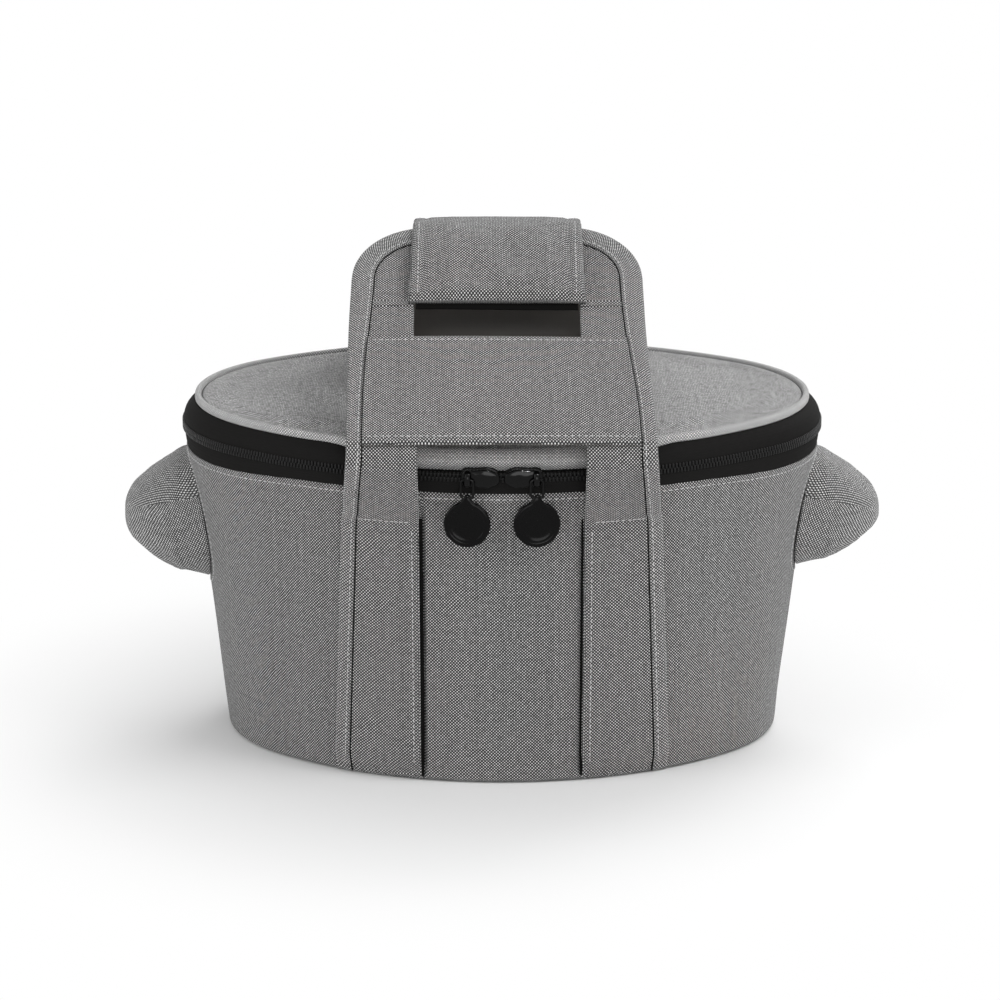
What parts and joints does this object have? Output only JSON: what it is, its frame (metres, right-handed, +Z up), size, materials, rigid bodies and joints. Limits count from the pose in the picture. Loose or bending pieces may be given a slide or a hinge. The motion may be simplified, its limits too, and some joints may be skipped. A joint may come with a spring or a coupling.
{
  "type": "casserole carrier",
  "caption": "Padded oval cloth carrier for a lidded pot, with a zipped lid, side pockets for the pot handles and two carrying handles joined by a padded wrap.",
  "frame": {"origin": "middle of the base, on the surface it stands on", "axes": "+X to the right along the long side of the oval, +Y to the back where the lid folds, +Z up"},
  "size_m": [0.4152, 0.3066, 0.2827],
  "materials": {
    "body_cloth": "plain weave of pale and dark grey yarns",
    "lid_cloth": "plain weave of pale and dark grey yarns, paler under top light",
    "binding_cloth": "the same weave cut on the bias and folded over the edge",
    "padding": "closed-cell foam sheet",
    "lining_cloth": "smooth dark polyester lining",
    "base_board": "plain sheet",
    "zip_tape": "black woven tape with a ribbed surface",
    "zip_coil": "black nylon coil",
    "slider_metal": "black enamel, glossy",
    "pull_disc": "black moulded rubber, satin",
    "hook_tape": "black hook tape"
  },
  "bodies": {
    "tub": {"base_panel": "body_cloth", "outer_wall": "body_cloth", "base_board": "base_board", "base_foam": "padding", "wall_foam": "padding", "lining": "lining_cloth", "left_ear_cover": "body_cloth", "right_ear_cover": "body_cloth", "lower_zip_tape": "zip_tape", "lower_zip_coil": "zip_coil", "rear_gusset": "body_cloth", "hinge_panel": "lid_cloth", "front_left_strap": "body_cloth", "front_left_strap_binding": "binding_cloth", "front_right_strap": "body_cloth", "front_right_strap_binding": "binding_cloth", "rear_left_strap": "body_cloth", "rear_left_strap_binding": "binding_cloth", "rear_right_strap": "body_cloth", "rear_right_strap_binding": "binding_cloth"},
    "lid": {"lid_panel": "lid_cloth", "lid_border": "lid_cloth", "lid_foam": "padding", "lid_lining": "lining_cloth", "upper_zip_tape": "zip_tape", "upper_zip_coil": "zip_coil"},
    "front_straps": {"front_left_tab": "body_cloth", "front_left_tab_binding": "binding_cloth", "front_right_tab": "body_cloth", "front_right_tab_binding": "binding_cloth"},
    "rear_straps": {"rear_left_tab": "body_cloth", "rear_left_tab_binding": "binding_cloth", "rear_right_tab": "body_cloth", "rear_right_tab_binding": "binding_cloth"},
    "front_handle": {"front_handle_frame": "body_cloth", "front_handle_binding": "binding_cloth", "front_cross_panel": "body_cloth", "front_grip_pad": "padding", "front_hook_strip": "hook_tape", "front_wrap_cover": "body_cloth"},
    "rear_handle": {"rear_handle_frame": "body_cloth", "rear_handle_binding": "binding_cloth", "rear_cross_panel": "body_cloth", "rear_grip_pad": "padding", "rear_hook_strip": "hook_tape", "rear_wrap_cover": "body_cloth"},
    "left_slider": {"left_slider": "slider_metal"},
    "right_slider": {"right_slider": "slider_metal"},
    "left_pull": {"left_pull_link": "slider_metal", "left_pull_disc": "pull_disc"},
    "right_pull": {"right_pull_link": "slider_metal", "right_pull_disc": "pull_disc"}
  },
  "joints": [
    {"name": "lid_open", "type": "hinge", "parent": "tub", "child": "lid", "pos_m": [0, 0.105, 0.188], "axis": [-1, 0, 0], "range_deg": [0, 70]},
    {"name": "front_strap_fold", "type": "hinge", "parent": "tub", "child": "front_straps", "pos_m": [0, -0.13102, 0.15], "axis": [1, 0, 0], "range_deg": [0, 110]},
    {"name": "front_handle_fold", "type": "hinge", "parent": "front_straps", "child": "front_handle", "pos_m": [0, -0.149, 0.1878], "axis": [1, 0, 0], "range_deg": [0, 67]},
    {"name": "rear_strap_fold", "type": "hinge", "parent": "tub", "child": "rear_straps", "pos_m": [0, 0.13102, 0.15], "axis": [-1, 0, 0], "range_deg": [0, 110]},
    {"name": "rear_handle_fold", "type": "hinge", "parent": "rear_straps", "child": "rear_handle", "pos_m": [0, 0.149, 0.1823], "axis": [-1, 0, 0], "range_deg": [0, 67]},
    {"name": "left_slider_travel", "type": "hinge", "parent": "tub", "child": "left_slider", "pos_m": [0, 0.06577, 0.172], "axis": [0, 0, -1], "range_deg": [0, 37], "deforming": ["front_left_tab", "front_left_tab_binding"]},
    {"name": "right_slider_travel", "type": "hinge", "parent": "tub", "child": "right_slider", "pos_m": [0, 0.06577, 0.172], "axis": [0, 0, 1], "range_deg": [0, 37], "deforming": ["front_right_tab", "front_right_tab_binding"]},
    {"name": "left_pull_swing", "type": "hinge", "parent": "left_slider", "child": "left_pull", "pos_m": [-0.01785, -0.13752, 0.172], "axis": [-0.9962, 0.0875, 0], "range_deg": [0, 90]},
    {"name": "right_pull_swing", "type": "hinge", "parent": "right_slider", "child": "right_pull", "pos_m": [0.01785, -0.13752, 0.172], "axis": [-0.9962, -0.0875, 0], "range_deg": [0, 90]}
  ],
  "couplings": [
    {"joint": "front_strap_fold", "follows": "lid_open", "ratio": 1.5714},
    {"joint": "front_handle_fold", "follows": "lid_open", "ratio": 0.95714},
    {"joint": "rear_strap_fold", "follows": "lid_open", "ratio": 1.5714},
    {"joint": "rear_handle_fold", "follows": "lid_open", "ratio": 0.95714}
  ]
}
